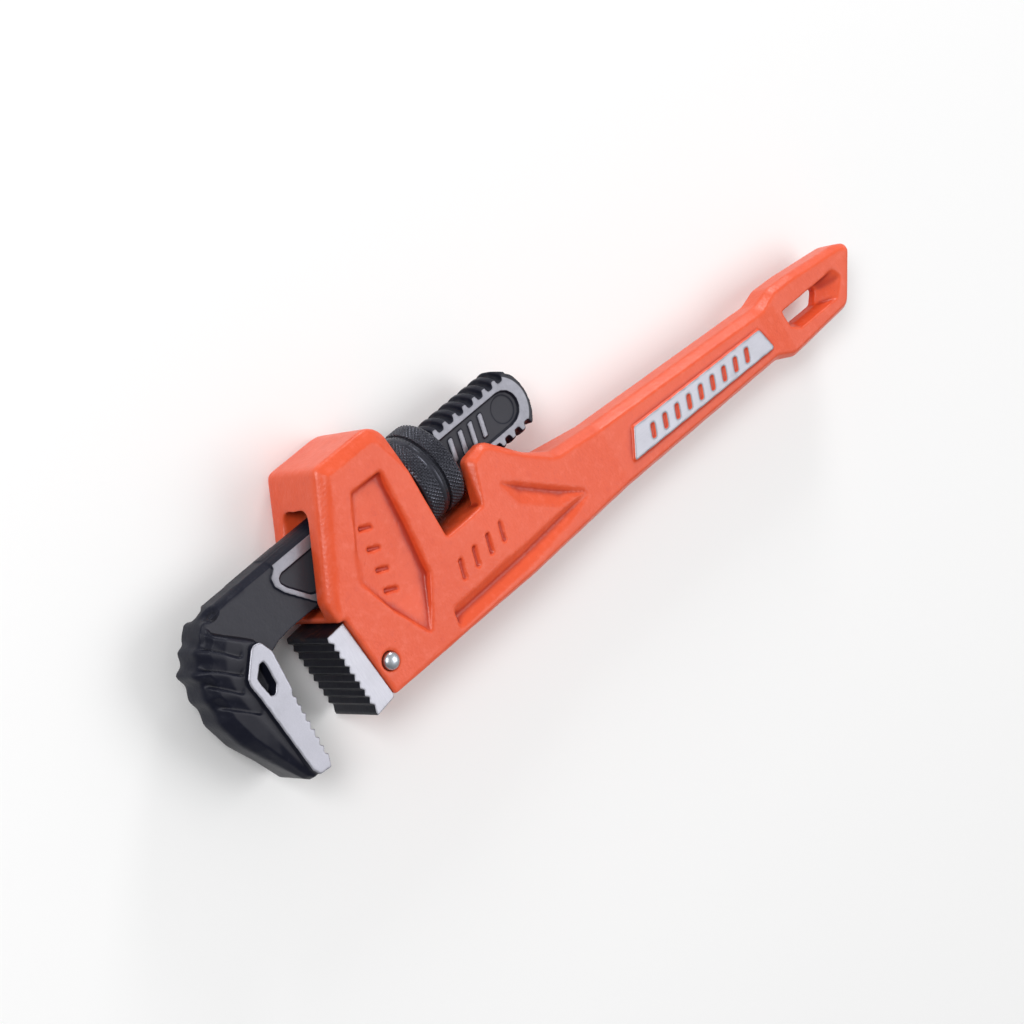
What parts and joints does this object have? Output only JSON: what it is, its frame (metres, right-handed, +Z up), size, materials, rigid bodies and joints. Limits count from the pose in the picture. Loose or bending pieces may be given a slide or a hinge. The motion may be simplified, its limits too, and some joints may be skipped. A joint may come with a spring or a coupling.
{
  "type": "pipe wrench",
  "caption": "Adjustable pipe wrench lying on its side: orange cast handle with a hang slot, toothed hook jaw on a threaded shank, knurled nut and toothed heel jaw.",
  "frame": {"origin": "centre of the wrench's box on the floor, as it lies on its side with the jaws 19 mm open", "axes": "+X towards the jaws, +Y the way the jaw tips point, +Z up through the wrench's thickness"},
  "size_m": [0.3252, 0.0872, 0.0334],
  "materials": {
    "orange_paint": "glossy paint over a cast surface",
    "ground_steel": "ground",
    "black_oxide": "black oxide on forged steel, ground bright on the jaw's sides",
    "spring_steel": "drawn spring steel"
  },
  "bodies": {
    "housing": {"handle_casting": "orange_paint", "heel_jaw": "ground_steel", "heel_jaw_pin": "ground_steel", "flat_spring_rivet": "spring_steel", "coil_spring": "spring_steel"},
    "spring_carrier": {"flat_spring": "spring_steel"},
    "nut": {"adjusting_nut": "black_oxide"},
    "hook": {"hook_jaw": "black_oxide"}
  },
  "joints": [
    {"name": "jaw_rock", "type": "hinge", "parent": "housing", "child": "spring_carrier", "pos_m": [0.0537, -0.01539, 0.01669], "axis": [0, 0, 1], "range_deg": [-1.5, 1.5], "stiffness_Nm_per_rad": 10, "deforming": ["flat_spring", "coil_spring"]},
    {"name": "nut_spin", "type": "hinge", "parent": "spring_carrier", "child": "nut", "pos_m": [0.0537, -0.01539, 0.01669], "axis": [1, 0, 0], "range_deg": [-2881, 1261]},
    {"name": "jaw_slide", "type": "slide", "parent": "spring_carrier", "child": "hook", "axis": [1, 0, 0], "range_m": [-0.0175, 0.04]}
  ],
  "couplings": [
    {"joint": "nut_spin", "follows": "jaw_slide", "rad_per_m": -1256.6}
  ]
}
